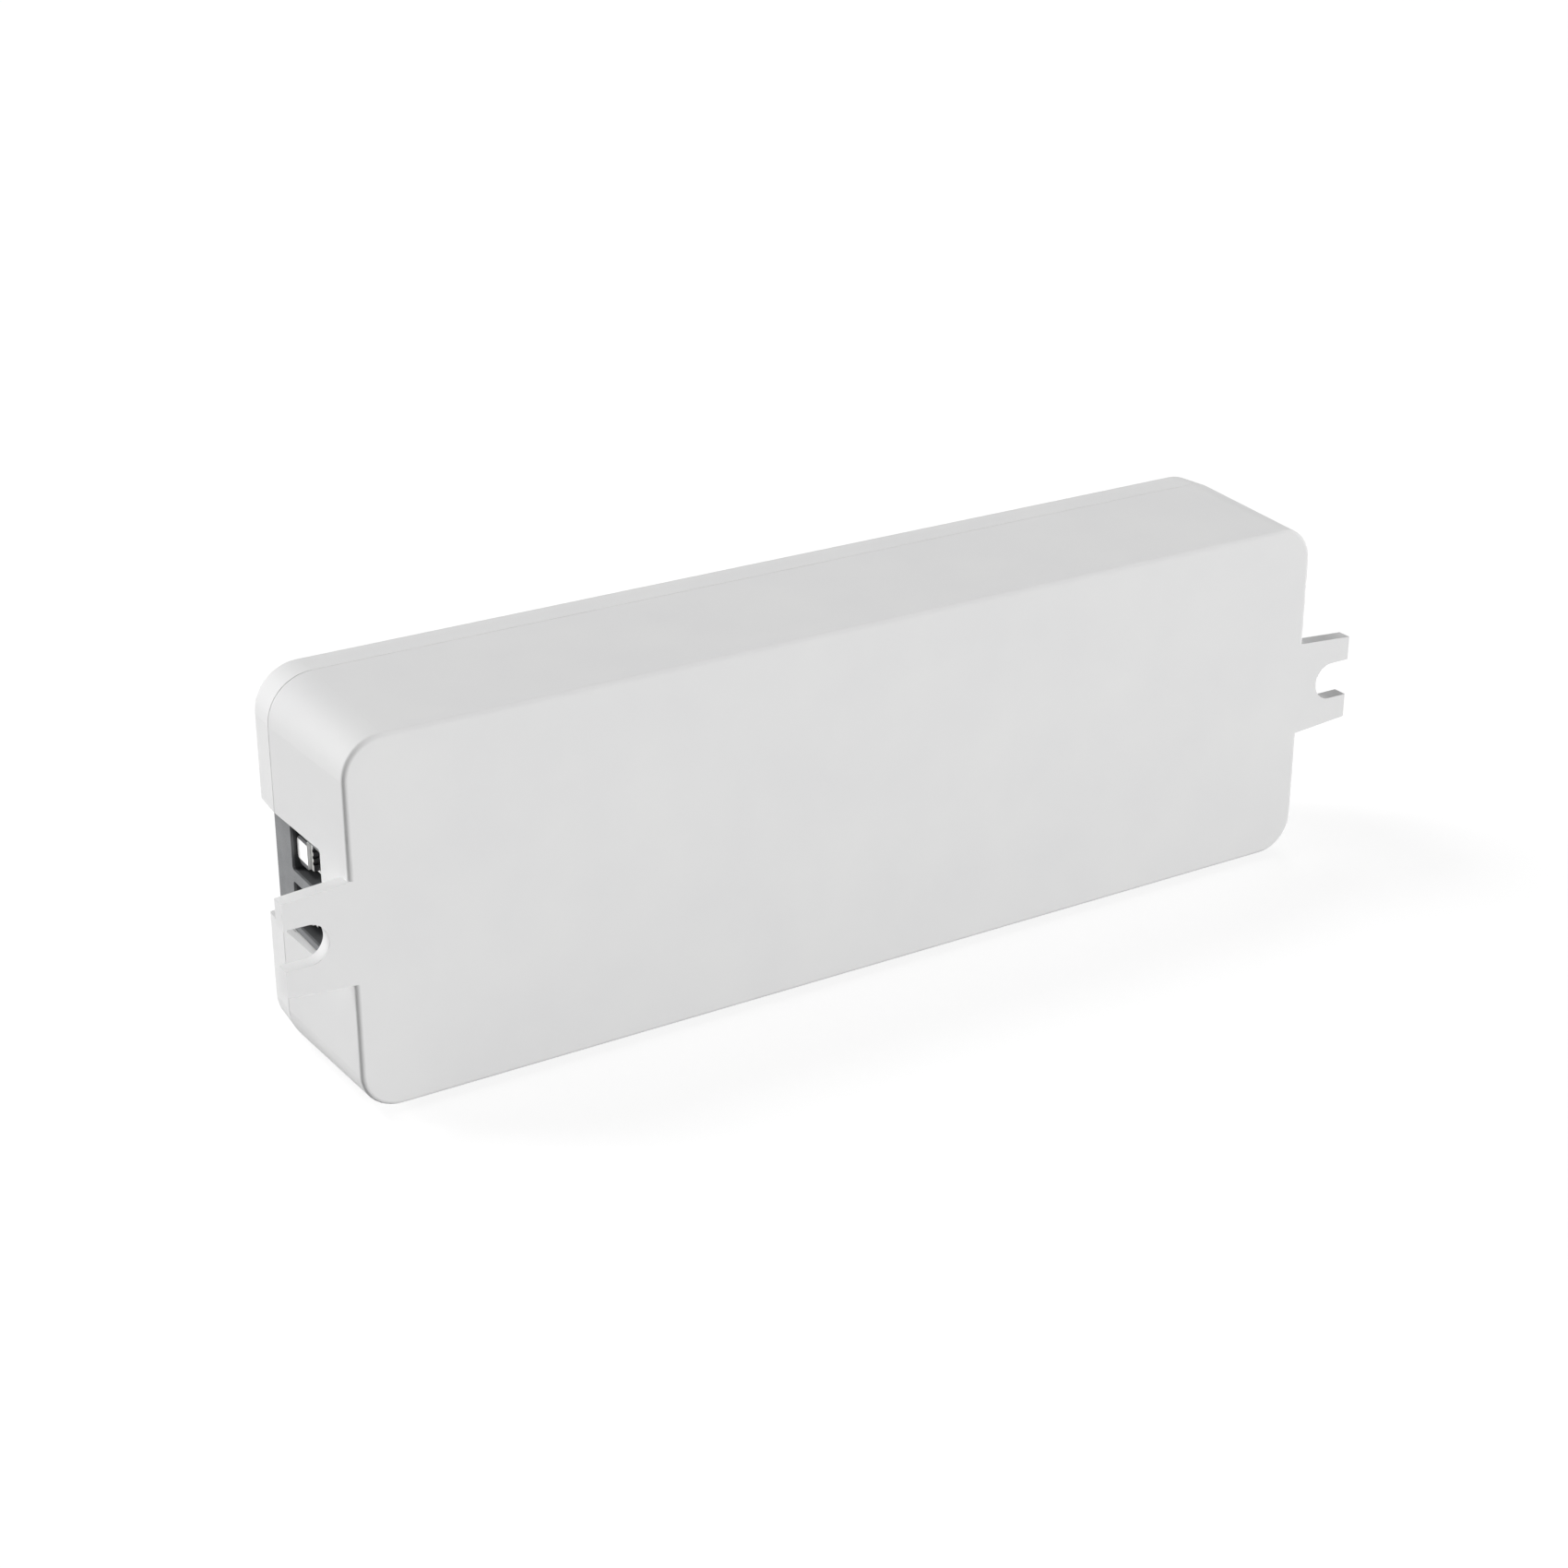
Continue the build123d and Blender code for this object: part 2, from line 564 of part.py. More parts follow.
def crystal_can():
    """The clock crystal's metal can, with its flange and leads."""
    inset = 2 * CRYSTAL_FLANGE
    body = extrude(SlotOverall(CRYSTAL_LENGTH, CRYSTAL_WIDTH), amount=CRYSTAL_FLANGE)
    body += extrude(SlotOverall(CRYSTAL_LENGTH - inset, CRYSTAL_WIDTH - inset), amount=CRYSTAL_HEIGHT)
    body = fillet(body.edges().group_by(Axis.Z)[-1], CRYSTAL_ROUND)
    return body + through_leads()


def radio_board():
    """The radio's own small board, with half-round castellations along its two long edges."""
    body = slab(RADIO_LENGTH, RADIO_WIDTH, 0, RADIO_THICKNESS)
    pitch = RADIO_LENGTH / (CASTELLATIONS + 2)
    cuts = []
    for index in range(CASTELLATIONS):
        along = (index + 1) * pitch - RADIO_LENGTH / 2
        for side in (-1, 1):
            cuts.append(post(CASTELLATION_RADIUS, 0, RADIO_THICKNESS, (along, side * RADIO_WIDTH / 2)))
    return body - cuts


shield_width = RADIO_WIDTH - 4 * CASTELLATION_RADIUS
shield_x = (SHIELD_LENGTH - RADIO_LENGTH) / 2 + CASTELLATION_RADIUS


def radio_shield():
    """The folded metal can over the radio, open underneath and with two vent holes."""
    low = RADIO_THICKNESS
    high = RADIO_THICKNESS + SHIELD_HEIGHT
    body = slab(SHIELD_LENGTH, shield_width, low, high, (shield_x, 0))
    body = fillet(body.edges().filter_by(Axis.Z) + body.edges().group_by(Axis.Z)[-1], SHIELD_ROUND)
    body -= slab(SHIELD_LENGTH - 2 * SHIELD_WALL, shield_width - 2 * SHIELD_WALL, low,
                 high - SHIELD_WALL, (shield_x, 0))
    for side in (-1, 1):
        body -= post(SHIELD_VENT_RADIUS, low, high, (shield_x + side * SHIELD_LENGTH / 4, 0))
    return body


def chip(size):
    """A small block component with its two metal ends standing slightly proud."""
    length, width, height = size
    cap = length / 6
    body = slab(length - cap, width - 2 * END_METAL, 0, height - END_METAL)
    for side in (-1, 1):
        body += slab(cap, width, 0, height, (side * (length - cap) / 2, 0))
    return body


def status_led():
    """A small indicator lamp with a round well in its top and one marked end."""
    length, width, height = LAMP_SIZE
    body = slab(length, width, 0, height)
    body = chamfer(body.edges().filter_by(Axis.Z).group_by(Axis.X)[0], LAMP_MARK)
    floor = height - LAMP_WELL_DEPTH
    well = Cone(LAMP_WELL_RADIUS - LAMP_WELL_DEPTH / 2, LAMP_WELL_RADIUS, LAMP_WELL_DEPTH,
                align=(Align.CENTER, Align.CENTER, Align.MIN))
    return body - Pos(0, 0, floor) * well


def on_board(shape, share, turn=0):
    """Stands a component on the board."""
    x, y = place(share)
    return Pos(x, y, board_top) * (Rot(0, 0, turn) * shape)


def channel_row(shape, share, turn=0):
    """One copy of a component for each output channel, side by side across the board."""
    x = place((share, 0))[0]
    offsets = [(index - (CHANNELS - 1) / 2) * CHANNEL_PITCH for index in range(CHANNELS)]
    return [Pos(x, y, board_top) * (Rot(0, 0, turn) * shape) for y in offsets]


def stand_up(shape):
    """Turns a piece from lying on the mounting face to standing on its long side."""
    return Rot(-90, 0, 0) * shape


def write(name, shapes):
    """Writes one named piece, or a group of like pieces, to its own file."""
    solids = []
    for shape in shapes:
        solids += stand_up(shape).solids()
    body = solids[0] if len(solids) == 1 else Compound(children=solids)
    export_step(body, "parts/" + name + ".step")


def write_block(name, turn, poles):
    """Writes a terminal block's housing, cages, contact bars and screws."""
    write(name + "_terminal_housing", [on_end(block_housing(poles), turn)])
    offsets = pole_offsets(poles)
    write(name + "_terminal_cages", [on_end(clamp_cage(y), turn) for y in offsets])
    write(name + "_terminal_bars", [on_end(contact_bar(y), turn) for y in offsets])
    write(name + "_terminal_screws", [on_end(clamp_screw(y), turn) for y in offsets])


os.makedirs("parts", exist_ok=True)
write("base_tray", [base_tray()])
write("lid", [lid()])
write("circuit_board", [circuit_board()])
write("board_screws", board_screws())
write_block("input", 180, INPUT_POLES)
write_block("output", 0, OUTPUT_POLES)
write("input_fuse", [on_board(chip(FUSE_SIZE), FUSE_PLACE, 90)])
write("polarity_transistor", [on_board(power_transistor(), POLARITY_PLACE, 90)])
write("input_capacitors", [on_board(capacitor(), share) for share in CAPACITOR_PLACES])
write("buck_inductor", [on_board(power_inductor(), INDUCTOR_PLACE)])
regulator = leaded_chip(REGULATOR_SIZE, REGULATOR_PINS, REGULATOR_PITCH, (90, 270))
write("regulator_chip", [on_board(regulator, REGULATOR_PLACE, 90)])
write("catch_diode", [on_board(leaded_diode(), CATCH_DIODE_PLACE, 90)])
processor = leaded_chip(PROCESSOR_SIZE, PROCESSOR_PINS, PROCESSOR_PITCH, (0, 90, 180, 270))
write("processor_chip", [on_board(processor, PROCESSOR_PLACE)])
write("crystal_can", [on_board(crystal_can(), CRYSTAL_PLACE)])
write("radio_board", [on_board(radio_board(), RADIO_PLACE)])
write("radio_shield", [on_board(radio_shield(), RADIO_PLACE)])
write("status_lamp", [on_board(status_led(), STATUS_LED_PLACE)])
write("channel_transistors", channel_row(power_transistor(), TRANSISTOR_SHARE))
write("shunt_resistors", channel_row(chip(SHUNT_SIZE), SHUNT_SHARE, 90))
write("gate_resistors", channel_row(chip(RESISTOR_SIZE), GATE_RESISTOR_SHARE, 90))
write("ceramic_capacitors", [on_board(chip(CERAMIC_SIZE), share, 90) for share in CERAMIC_PLACES])
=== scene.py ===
import math

import bpy
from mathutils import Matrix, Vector


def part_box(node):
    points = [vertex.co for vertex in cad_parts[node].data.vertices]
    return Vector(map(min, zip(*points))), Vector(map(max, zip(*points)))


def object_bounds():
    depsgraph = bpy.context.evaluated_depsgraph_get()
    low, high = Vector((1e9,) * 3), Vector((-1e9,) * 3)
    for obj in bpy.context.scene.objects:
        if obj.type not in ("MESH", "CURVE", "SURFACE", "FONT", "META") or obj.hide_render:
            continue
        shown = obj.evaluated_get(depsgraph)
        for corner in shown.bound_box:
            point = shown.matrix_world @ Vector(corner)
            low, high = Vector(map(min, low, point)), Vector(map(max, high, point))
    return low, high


MM = 0.001

# The camera that took the photograph, in the controller's own frame
CAMERA_PLACE = (-217.6 * MM, -332.0 * MM, 182.9 * MM)
CAMERA_TURN = math.radians(-31.38)
CAMERA_DIP = math.radians(23.14)
CAMERA_LENS = 66.79
CAMERA_SENSOR = 36
CAMERA_SHIFT = -0.0418

# Softboxes: bearing from the front, height above the horizon, and how brightly a white
# surface that faces one is lit
SOFTBOX_DISTANCE = 4.0
SOFTBOX_RADIUS = 0.7
BACK_LEFT = (225, 12, 0.79)
FRONT_RIGHT = (33, 10, 0.882)
OVERHEAD = (225, 55, 0.40)
BACK_RIGHT = (150, 60, 0.16)
AMBIENT = 0.04

# The floor: what it throws back, what the eye sees of it, and how far out its shadows show
FLOOR_HALF = 8.0
FLOOR_GREY = 0.42
FLOOR_SHADE = 0.24
FLOOR_GLOW = 0.85
SHADOW_REACH = 0.35
WHITE_REACH = 1.4

# The part of a noise's range that most of its values fall in
NOISE_LOW = 0.3
NOISE_HIGH = 0.7

# The board's top above the mounting face, and where the small parts on it change finish
BOARD_TOP = 9.2 * MM
TAB_HEIGHT = 0.5 * MM
END_METAL = 0.05 * MM
REGULATOR_LEAD = 0.65 * MM
PROCESSOR_LEAD = 0.9 * MM
DIODE_LEAD = 0.45 * MM
CAN_RIM = 0.55 * MM
STRIPE_WIDTH = 0.6 * MM
WELL_RADIUS = 4.0 * MM
WELL_DEPTH = 0.6 * MM
FOOT_HEIGHT = 0.15 * MM
GEL_RADIUS = 1.1 * MM
TRACKS_PER_METRE = 120
TRACK_SHARE = 0.035

# The terminals: how deep the plastic stays free of painted shade, the screws, and where painted
# shade darkens the metal, measured from a pole's middle, a cage's top and the block's face
CHAMBER_SHADE = 0.4 * MM
CLAMP_HEAD = 2.2 * MM
THREAD_PITCH = 0.5 * MM
HALF_PITCH = 4.4 * MM
HEAD_HALF = 1.55 * MM
HEAD_THICK = 3.7 * MM
BAR_FRONT = 1.35 * MM


def camera():
    """Sets the camera where the photograph was taken from."""
    view = bpy.data.cameras.new("camera")
    view.lens = CAMERA_LENS
    view.sensor_width = CAMERA_SENSOR
    view.shift_y = CAMERA_SHIFT
    stand = bpy.data.objects.new("camera", view)
    stand.location = CAMERA_PLACE
    stand.rotation_euler = (math.pi / 2 - CAMERA_DIP, 0, CAMERA_TURN)
    bpy.context.collection.objects.link(stand)
    bpy.context.scene.camera = stand


def softbox(name, bearing, height, brightness):
    """A round studio lamp that faces the controller's middle."""
    turn, rise = math.radians(bearing), math.radians(height)
    towards = Vector((math.sin(turn) * math.cos(rise), -math.cos(turn) * math.cos(rise),
                      math.sin(rise)))
    lamp = bpy.data.lights.new(name, "AREA")
    lamp.shape = "DISK"
    lamp.size = 2 * SOFTBOX_RADIUS
    lamp.energy = brightness * math.pi ** 2 * (SOFTBOX_DISTANCE ** 2 + SOFTBOX_RADIUS ** 2)
    stand = bpy.data.objects.new(name, lamp)
    stand.location = towards * SOFTBOX_DISTANCE
    stand.rotation_euler = towards.to_track_quat("Z", "Y").to_euler()
    stand.visible_camera = False
    bpy.context.collection.objects.link(stand)


def seen_ray(nodes, links):
    """One for a ray that sees the background itself, by eye, in gloss or through glass."""
    path = nodes.new("ShaderNodeLightPath")
    gloss = nodes.new("ShaderNodeMath")
    gloss.operation = "MAXIMUM"
    links.new(path.outputs["Is Camera Ray"], gloss.inputs[0])
    links.new(path.outputs["Is Glossy Ray"], gloss.inputs[1])
    through = nodes.new("ShaderNodeMath")
    through.operation = "MAXIMUM"
    links.new(gloss.outputs[0], through.inputs[0])
    links.new(path.outputs["Is Transmission Ray"], through.inputs[1])
    return through.outputs[0]


def studio_world():
    """White to the eye, with little light of its own."""
    world = bpy.data.worlds.new("studio")
    world.use_nodes = True
    nodes, links = world.node_tree.nodes, world.node_tree.links
    back = nodes["Background"]
    back.inputs["Color"].default_value = (1, 1, 1, 1)
    level = nodes.new("ShaderNodeMapRange")
    level.inputs["To Min"].default_value = AMBIENT
    level.inputs["To Max"].default_value = 1
    links.new(seen_ray(nodes, links), level.inputs["Value"])
    links.new(level.outputs["Result"], back.inputs["Strength"])
    bpy.context.scene.world = world


def floor(height):
    """A plain pale floor that looks white and keeps the controller's shadow."""
    bpy.ops.object.select_all(action="DESELECT")
    bpy.ops.mesh.primitive_plane_add(size=2 * FLOOR_HALF, location=(0, 0, height))
    ground = bpy.context.object
    ground.name = "floor"
    paint = bpy.data.materials.new("floor_paint")
    paint.use_nodes = True
    nodes, links = paint.node_tree.nodes, paint.node_tree.links
    nodes.clear()
    plain = nodes.new("ShaderNodeBsdfDiffuse")
    plain.inputs["Color"].default_value = (FLOOR_GREY, FLOOR_GREY, FLOOR_GREY, 1)
    place = nodes.new("ShaderNodeTexCoord")
    away = nodes.new("ShaderNodeVectorMath")
    away.operation = "LENGTH"
    links.new(place.outputs["Object"], away.inputs[0])
    far = nodes.new("ShaderNodeMapRange")
    far.interpolation_type = "SMOOTHSTEP"
    far.inputs["From Min"].default_value = SHADOW_REACH
    far.inputs["From Max"].default_value = WHITE_REACH
    links.new(away.outputs["Value"], far.inputs["Value"])
    shade = nodes.new("ShaderNodeBsdfDiffuse")
    shade.inputs["Color"].default_value = (FLOOR_SHADE, FLOOR_SHADE, FLOOR_SHADE, 1)
    glow = nodes.new("ShaderNodeEmission")
    glow.inputs["Strength"].default_value = FLOOR_GLOW
    near = nodes.new("ShaderNodeAddShader")
    links.new(shade.outputs[0], near.inputs[0])
    links.new(glow.outputs[0], near.inputs[1])
    white = nodes.new("ShaderNodeMixShader")
    links.new(far.outputs["Result"], white.inputs[0])
    links.new(near.outputs[0], white.inputs[1])
    links.new(nodes.new("ShaderNodeEmission").outputs[0], white.inputs[2])
    choice = nodes.new("ShaderNodeMixShader")
    links.new(seen_ray(nodes, links), choice.inputs[0])
    links.new(plain.outputs[0], choice.inputs[1])
    links.new(white.outputs[0], choice.inputs[2])
    output = nodes.new("ShaderNodeOutputMaterial")
    links.new(choice.outputs[0], output.inputs["Surface"])
    ground.data.materials.append(paint)


class Finish:
    """A material under construction, with the few steps that these finishes share."""

    def __init__(self, name, colour, roughness, metallic=0.0):
        self.material = bpy.data.materials.new(name)
        self.material.use_nodes = True
        self.nodes = self.material.node_tree.nodes
        self.links = self.material.node_tree.links
        self.shader = self.nodes["Principled BSDF"]
        self.shader.inputs["Base Color"].default_value = (*colour, 1)
        self.shader.inputs["Roughness"].default_value = roughness
        self.shader.inputs["Metallic"].default_value = metallic
        self.place = self.nodes.new("ShaderNodeTexCoord").outputs["Object"]

    def grain(self, size, detail=3.0, stretch=(1, 1, 1)):
        """Noise whose blobs are about this size, from 0 to 1."""
        stretcher = self.nodes.new("ShaderNodeMapping")
        stretcher.inputs["Scale"].default_value = stretch
        self.links.new(self.place, stretcher.inputs["Vector"])
        noise = self.nodes.new("ShaderNodeTexNoise")
        noise.inputs["Scale"].default_value = 1 / size
        noise.inputs["Detail"].default_value = detail
        self.links.new(stretcher.outputs["Vector"], noise.inputs["Vector"])
        return noise.outputs["Fac"]

    def between(self, value, low, high):
        """Spreads a noise over the range from low to high."""
        spread = self.nodes.new("ShaderNodeMapRange")
        spread.inputs["From Min"].default_value = NOISE_LOW
        spread.inputs["From Max"].default_value = NOISE_HIGH
        spread.inputs["To Min"].default_value = low
        spread.inputs["To Max"].default_value = high
        self.links.new(value, spread.inputs["Value"])
        return spread.outputs["Result"]

    def blend(self, share, first, second):
        """Mixes two colours, each a plain colour or a node's output."""
        mix = self.nodes.new("ShaderNodeMix")
        mix.data_type = "RGBA"
        self.links.new(share, mix.inputs["Factor"])
        for socket, colour in ((mix.inputs["A"], first), (mix.inputs["B"], second)):
            if isinstance(colour, tuple):
                socket.default_value = (*colour, 1)
            else:
                self.links.new(colour, socket)
        return mix.outputs["Result"]

    def math(self, operation, first, second):
        """One arithmetic step on node outputs or plain numbers."""
        step = self.nodes.new("ShaderNodeMath")
        step.operation = operation
        for socket, value in ((step.inputs[0], first), (step.inputs[1], second)):
            if isinstance(value, (int, float)):
                socket.default_value = value
            else:
                self.links.new(value, socket)
        return step.outputs[0]

    def axis(self, letter):
        """One coordinate of the place on the controller, in metres."""
        split = self.nodes.new("ShaderNodeSeparateXYZ")
        self.links.new(self.place, split.inputs[0])
        return split.outputs[letter]

    def from_middle(self, letter, middle):
        """How far a point lies from a middle along one axis."""
        return self.math("ABSOLUTE", self.math("SUBTRACT", self.axis(letter), middle), 0.0)

    def from_upright(self, low, high):
        """How far a point lies from the upright line through the middle of a box on the board."""
        across = self.math("POWER", self.from_middle("X", (low[0] + high[0]) / 2), 2.0)
        along = self.math("POWER", self.from_middle("Z", (low[2] + high[2]) / 2), 2.0)
        return self.math("SQRT", self.math("ADD", across, along), 0.0)

    def bump(self, height, strength, distance):
        """Gives the surface a relief."""
        relief = self.nodes.new("ShaderNodeBump")
        relief.inputs["Strength"].default_value = strength
        relief.inputs["Distance"].default_value = distance
        self.links.new(height, relief.inputs["Height"])
        self.links.new(relief.outputs["Normal"], self.shader.inputs["Normal"])

    def colour_from(self, output):
        self.links.new(output, self.shader.inputs["Base Color"])

    def roughness_from(self, output):
        self.links.new(output, self.shader.inputs["Roughness"])

    def metallic_from(self, output):
        self.links.new(output, self.shader.inputs["Metallic"])


def housing_plastic():
    """White moulded plastic with a fine spark-eroded texture and faint flow marks."""
    finish = Finish("housing_plastic", (0.80, 0.80, 0.80), 0.72)
    finish.shader.inputs["Specular IOR Level"].default_value = 0.15
    flow = finish.between(finish.grain(14 * MM, 2.0), 0.0, 1.0)
    finish.colour_from(finish.blend(flow, (0.785, 0.785, 0.787), (0.805, 0.805, 0.803)))
    speck = finish.grain(0.35 * MM)
    finish.roughness_from(finish.between(speck, 0.66, 0.78))
    finish.bump(speck, 0.08, 0.05 * MM)
    return finish.material


def terminal_plastic():
    """Mid grey moulded nylon, with painted shade inside the wire chambers."""
    low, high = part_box("output_terminal_housing")
    face, top = high[0], high[1]
    finish = Finish("terminal_plastic", (0.18, 0.185, 0.19), 0.42)
    flow = finish.between(finish.grain(3 * MM, 2.0), 0.0, 1.0)
    grey = finish.blend(flow, (0.144, 0.149, 0.155), (0.186, 0.191, 0.198))
    behind = finish.math("LESS_THAN", finish.from_middle("X", 0.0), face - CHAMBER_SHADE)
    below = finish.math("LESS_THAN", finish.axis("Y"), top - CHAMBER_SHADE)
    painted_chamber_shade = finish.math("MULTIPLY", behind, below)
    # Painted shade: the plastic inside the chambers gets a near-black colour
    finish.colour_from(finish.blend(painted_chamber_shade, grey, (0.070, 0.072, 0.075)))
    speck = finish.grain(0.25 * MM)
    finish.roughness_from(finish.between(speck, 0.36, 0.50))
    finish.bump(speck, 0.10, 0.04 * MM)
    return finish.material


def painted_head_shade(finish):
    """A mask for the painted shade along the edges of a clamp cage's head."""
    head_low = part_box("input_terminal_cages")[1][1] - HEAD_THICK
    inwards = finish.math("PINGPONG", finish.axis("Z"), HALF_PITCH)
    edge = finish.math("LESS_THAN", inwards, HALF_PITCH - HEAD_HALF)
    return finish.math("MULTIPLY", edge, finish.math("GREATER_THAN", finish.axis("Y"), head_low))


def painted_bar_shade(finish):
    """A mask for painted shade on all of a contact bar behind its front face."""
    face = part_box("output_terminal_housing")[1][0]
    return finish.math("LESS_THAN", finish.from_middle("X", 0.0), face - BAR_FRONT)


def bright_metal(name, colour, roughness, stretch=(1, 12, 1), painted_shade=None):
    """Plated metal with drawn-out scratches along one way, and painted shade where a mask says."""
    finish = Finish(name, colour, roughness, 1.0)
    scratches = finish.grain(0.4 * MM, 4.0, stretch)
    finish.roughness_from(finish.between(scratches, roughness - 0.08, roughness + 0.10))
    dull = tuple(0.92 * level for level in colour)
    plated = finish.blend(finish.between(scratches, 0.0, 1.0), dull, colour)
    if painted_shade:
        # Painted shade: a near-black colour where the mask says
        plated = finish.blend(painted_shade(finish), plated, (0.10, 0.10, 0.105))
    finish.colour_from(plated)
    finish.bump(scratches, 0.06, 0.02 * MM)
    return finish.material


def threaded_steel(name, head_low):
    """Zinc-plated steel whose shank below the head carries a fine thread."""
    finish = Finish(name, (0.72, 0.73, 0.74), 0.32, 1.0)
    cloud = finish.grain(0.8 * MM)
    finish.colour_from(finish.blend(cloud, (0.62, 0.64, 0.67), (0.80, 0.80, 0.79)))
    finish.roughness_from(finish.between(cloud, 0.24, 0.42))
    turns = finish.math("MULTIPLY", finish.axis("Y"), 2 * math.pi / THREAD_PITCH)
    ridge = finish.math("SINE", turns, 0.0)
    shank = finish.math("LESS_THAN", finish.axis("Y"), head_low)
    finish.bump(finish.math("MULTIPLY", ridge, shank), 0.9, 0.12 * MM)
    return finish.material


def board_laminate(name, mask, track):
    """Lacquered laminate with tracks that show through the lacquer."""
    finish = Finish(name, mask, 0.3)
    turned = finish.nodes.new("ShaderNodeMapping")
    turned.inputs["Rotation"].default_value = (math.radians(90), 0, 0)
    finish.links.new(finish.place, turned.inputs["Vector"])
    tracks = finish.nodes.new("ShaderNodeTexBrick")
    tracks.inputs["Color1"].default_value = (0, 0, 0, 1)
    tracks.inputs["Color2"].default_value = (0, 0, 0, 1)
    tracks.inputs["Mortar"].default_value = (1, 1, 1, 1)
    tracks.inputs["Scale"].default_value = TRACKS_PER_METRE
    tracks.inputs["Mortar Size"].default_value = TRACK_SHARE
    finish.links.new(turned.outputs["Vector"], tracks.inputs["Vector"])
    finish.colour_from(finish.blend(tracks.outputs["Color"], mask, track))
    finish.bump(tracks.outputs["Color"], 0.5, 0.05 * MM)
    return finish.material


def epoxy(name, metal):
    """Matt black moulding compound, with tinned metal where the mask says."""
    finish = Finish(name, (0.02, 0.02, 0.022), 0.5)
    share = metal(finish)
    speck = finish.grain(0.15 * MM)
    black = finish.blend(speck, (0.012, 0.012, 0.013), (0.035, 0.035, 0.036))
    finish.colour_from(finish.blend(share, black, (0.70, 0.70, 0.68)))
    finish.metallic_from(share)
    finish.roughness_from(finish.between(speck, 0.35, 0.6))
    finish.bump(speck, 0.15, 0.02 * MM)
    return finish.material


def leads_around(node, reach, letters):
    """A mask for the leads that stand out past a part's body along the given axes."""
    low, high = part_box(node)

    def mask(finish):
        shares = []
        for letter in letters:
            index = "XYZ".index(letter)
            middle, half = (low[index] + high[index]) / 2, (high[index] - low[index]) / 2
            away = finish.from_middle(letter, middle)
            shares.append(finish.math("GREATER_THAN", away, half - reach))
        share = shares[0]
        for other in shares[1:]:
            share = finish.math("MAXIMUM", share, other)
        return share

    return mask


def tab_under(finish):
    """A mask for the soldered tab and leads under a power transistor."""
    return finish.math("LESS_THAN", finish.axis("Y"), BOARD_TOP + TAB_HEIGHT)


def proud_ends(name, node, colour):
    """A small block component whose metal ends stand a hair above its body."""
    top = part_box(node)[1][1]
    finish = Finish(name, colour, 0.45)
    share = finish.math("GREATER_THAN", finish.axis("Y"), top - END_METAL / 2)
    speck = finish.grain(0.3 * MM)
    dark = tuple(0.75 * level for level in colour)
    finish.colour_from(finish.blend(share, finish.blend(speck, dark, colour), (0.75, 0.75, 0.73)))
    finish.metallic_from(share)
    finish.bump(speck, 0.1, 0.02 * MM)
    return finish.material


def capacitor_can(node):
    """A dark sleeve with a pale polarity stripe, open at the bright top of the can."""
    low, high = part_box(node)
    finish = Finish("capacitor_can", (0.03, 0.03, 0.05), 0.35)
    top = finish.math("GREATER_THAN", finish.axis("Y"), high[1] - CAN_RIM)
    lead = finish.math("LESS_THAN", finish.axis("Y"), BOARD_TOP)
    bare = finish.math("MAXIMUM", top, lead)
    stripe = finish.math("LESS_THAN", finish.axis("X"), low[0] + STRIPE_WIDTH)
    sleeve = finish.blend(stripe, (0.02, 0.025, 0.05), (0.62, 0.62, 0.60))
    finish.colour_from(finish.blend(bare, sleeve, (0.82, 0.82, 0.80)))
    finish.metallic_from(bare)
    brushed = finish.grain(0.5 * MM, 4.0, (1, 1, 10))
    finish.roughness_from(finish.between(brushed, 0.28, 0.42))
    finish.bump(brushed, 0.08, 0.02 * MM)
    return finish.material


def ferrite(node):
    """Dull sintered ferrite round a well that shows the copper winding."""
    low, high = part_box(node)
    finish = Finish("ferrite", (0.06, 0.06, 0.065), 0.7)
    inside = finish.math("LESS_THAN", finish.from_upright(low, high), WELL_RADIUS)
    from_floor = finish.from_middle("Y", high[1] - WELL_DEPTH)
    winding = finish.math("MULTIPLY", inside, finish.math("LESS_THAN", from_floor, END_METAL))
    foot = finish.math("LESS_THAN", finish.axis("Y"), BOARD_TOP + FOOT_HEIGHT)
    speck = finish.grain(0.3 * MM)
    grey = finish.blend(speck, (0.03, 0.03, 0.033), (0.09, 0.09, 0.095))
    body = finish.blend(winding, grey, (0.75, 0.30, 0.12))
    finish.colour_from(finish.blend(foot, body, (0.7, 0.7, 0.68)))
    finish.metallic_from(finish.math("MAXIMUM", winding, foot))
    finish.bump(speck, 0.25, 0.05 * MM)
    return finish.material


def lamp_plastic(node):
    """A white package round a well of pale yellow gel."""
    low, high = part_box(node)
    finish = Finish("lamp_plastic", (0.8, 0.8, 0.78), 0.35)
    gel = finish.math("LESS_THAN", finish.from_upright(low, high), GEL_RADIUS)
    speck = finish.grain(0.2 * MM)
    white = finish.blend(speck, (0.74, 0.74, 0.72), (0.84, 0.84, 0.82))
    finish.colour_from(finish.blend(gel, white, (0.80, 0.72, 0.30)))
    return finish.material


def dress(material, *names):
    """Gives CAD nodes their finish."""
    for name in names:
        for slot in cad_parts[name].material_slots:
            slot.material = material


def dress_housing():
    """The two mouldings of the case."""
    dress(housing_plastic(), "base_tray", "lid")


def dress_terminals():
    """The blocks at both ends with their metal."""
    dress(terminal_plastic(), "input_terminal_housing", "output_terminal_housing")
    # The cage heads get painted shade along their edges
    nickel = bright_metal("cage_nickel", (0.97, 0.97, 0.96), 0.5, painted_shade=painted_head_shade)
    dress(nickel, "input_terminal_cages", "output_terminal_cages")
    # The contact bars get painted shade behind their front face
    tin = bright_metal("bar_tin", (0.66, 0.66, 0.65), 0.4, (12, 1, 1), painted_bar_shade)
    dress(tin, "input_terminal_bars", "output_terminal_bars")
    zinc = threaded_steel("clamp_screw_zinc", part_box("input_terminal_screws")[1][1] - CLAMP_HEAD)
    dress(zinc, "input_terminal_screws", "output_terminal_screws")


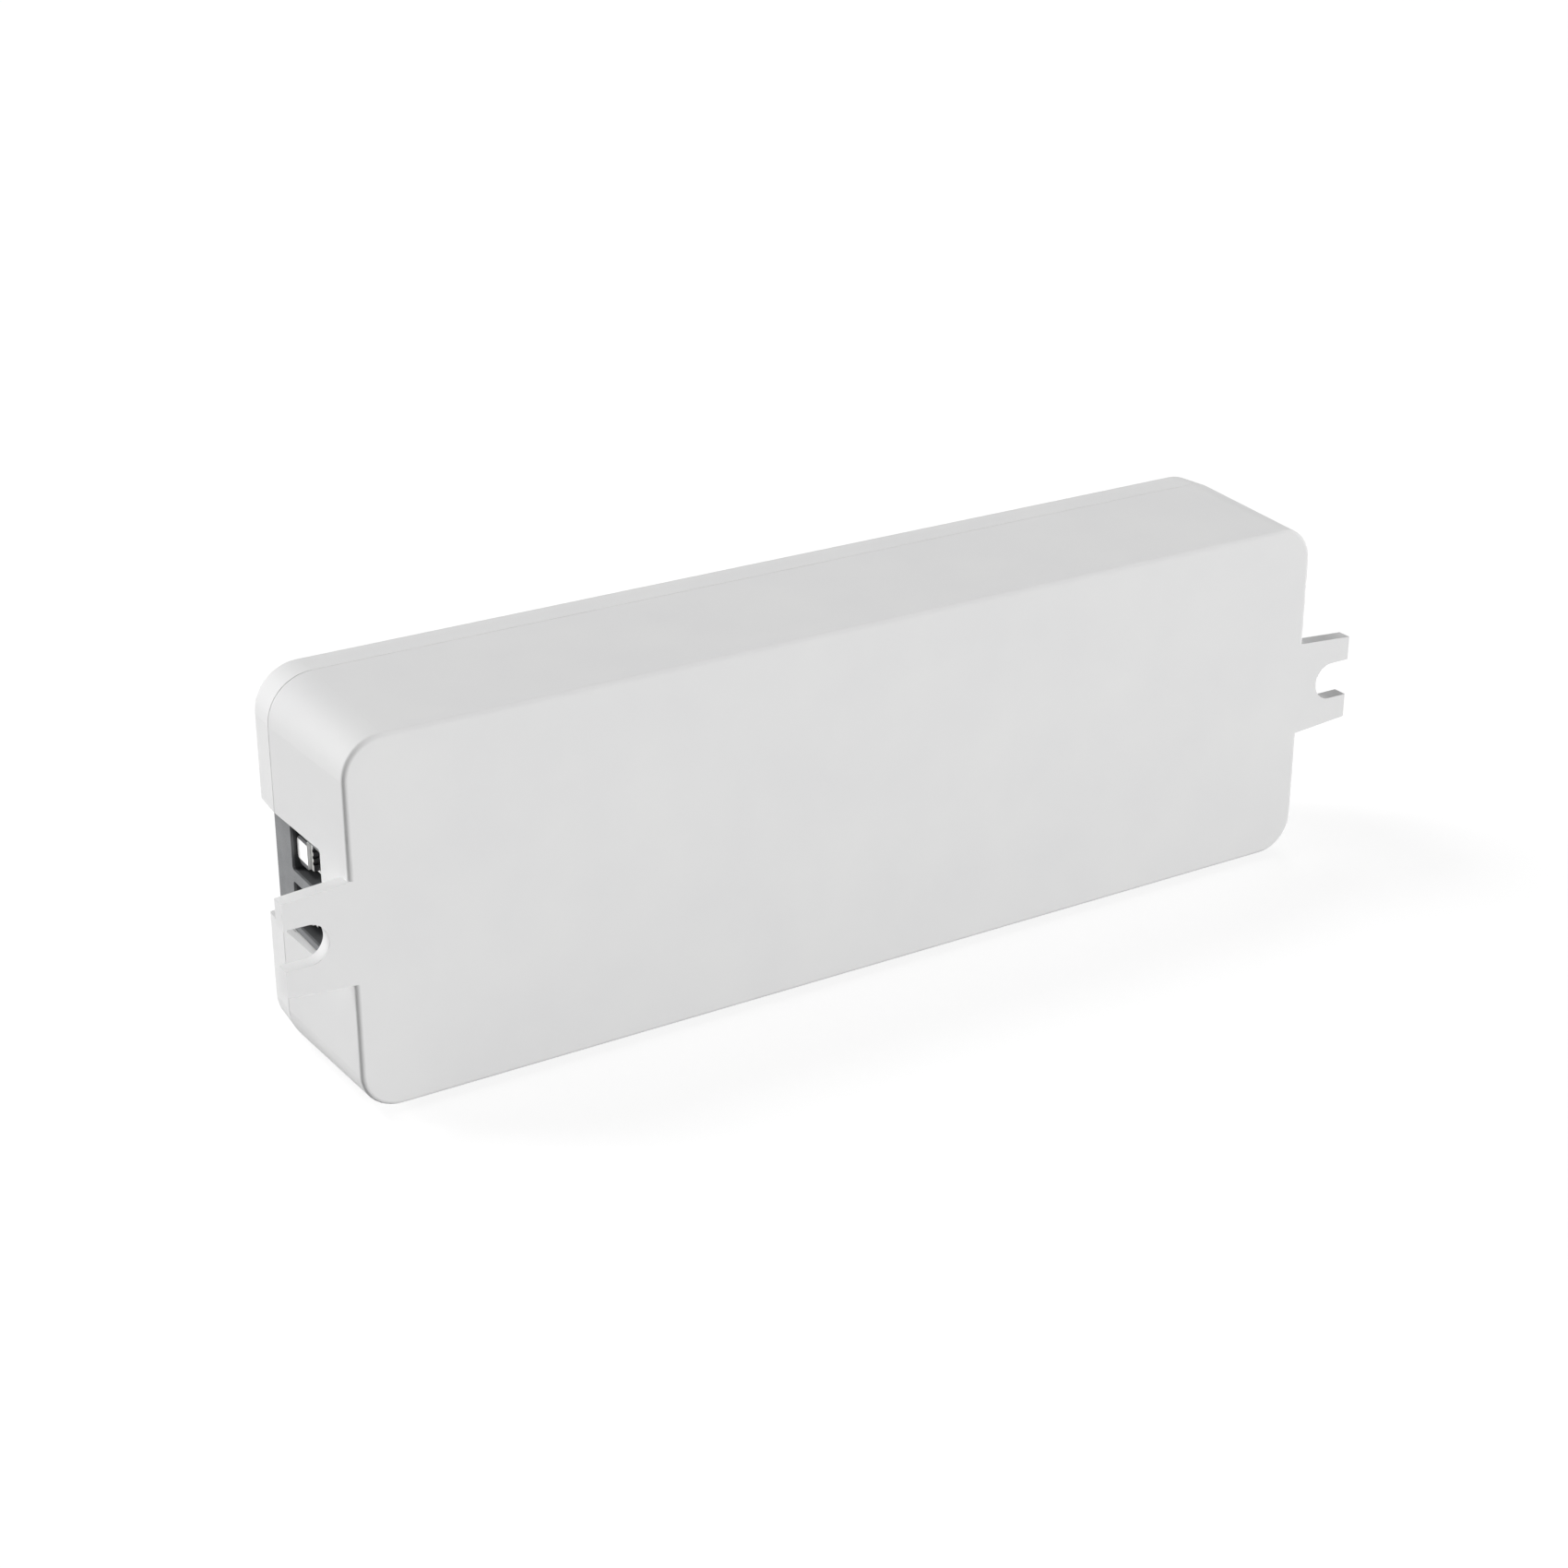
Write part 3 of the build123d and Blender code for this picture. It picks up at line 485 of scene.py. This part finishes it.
def dress_board():
    """The board, its screws and what is soldered to it."""
    green = board_laminate("board_laminate", (0.01, 0.11, 0.035), (0.03, 0.22, 0.07))
    dress(green, "circuit_board")
    blue = board_laminate("radio_laminate", (0.01, 0.04, 0.14), (0.03, 0.09, 0.24))
    dress(blue, "radio_board")
    dress(threaded_steel("board_screw_zinc", BOARD_TOP), "board_screws")
    dress(bright_metal("can_nickel", (0.78, 0.78, 0.76), 0.3), "crystal_can", "radio_shield")
    dress(capacitor_can("input_capacitors"), "input_capacitors")
    dress(ferrite("buck_inductor"), "buck_inductor")
    dress(lamp_plastic("status_lamp"), "status_lamp")
    dress(epoxy("transistor_epoxy", tab_under), "polarity_transistor", "channel_transistors")
    for name, node, reach, letters in (
            ("regulator_epoxy", "regulator_chip", REGULATOR_LEAD, "X"),
            ("processor_epoxy", "processor_chip", PROCESSOR_LEAD, "XZ"),
            ("diode_epoxy", "catch_diode", DIODE_LEAD, "Z")):
        dress(epoxy(name, leads_around(node, reach, letters)), node)
    for name, node, colour in (
            ("fuse_ceramic", "input_fuse", (0.75, 0.75, 0.70)),
            ("shunt_film", "shunt_resistors", (0.03, 0.03, 0.032)),
            ("resistor_film", "gate_resistors", (0.03, 0.03, 0.032)),
            ("capacitor_ceramic", "ceramic_capacitors", (0.42, 0.28, 0.16))):
        dress(proud_ends(name, node, colour), node)


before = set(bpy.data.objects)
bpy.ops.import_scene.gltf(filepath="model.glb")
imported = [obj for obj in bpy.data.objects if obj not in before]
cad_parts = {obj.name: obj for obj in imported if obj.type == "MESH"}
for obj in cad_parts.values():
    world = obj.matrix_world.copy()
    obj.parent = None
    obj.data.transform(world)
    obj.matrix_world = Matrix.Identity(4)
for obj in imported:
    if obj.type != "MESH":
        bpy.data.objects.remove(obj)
cad_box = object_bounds()
bpy.context.scene.view_settings.view_transform = "Standard"
camera()
softbox("back_left_softbox", *BACK_LEFT)
softbox("front_right_softbox", *FRONT_RIGHT)
softbox("overhead_softbox", *OVERHEAD)
softbox("back_right_softbox", *BACK_RIGHT)
studio_world()
floor(cad_box[0].z)
dress_housing()
dress_terminals()
dress_board()
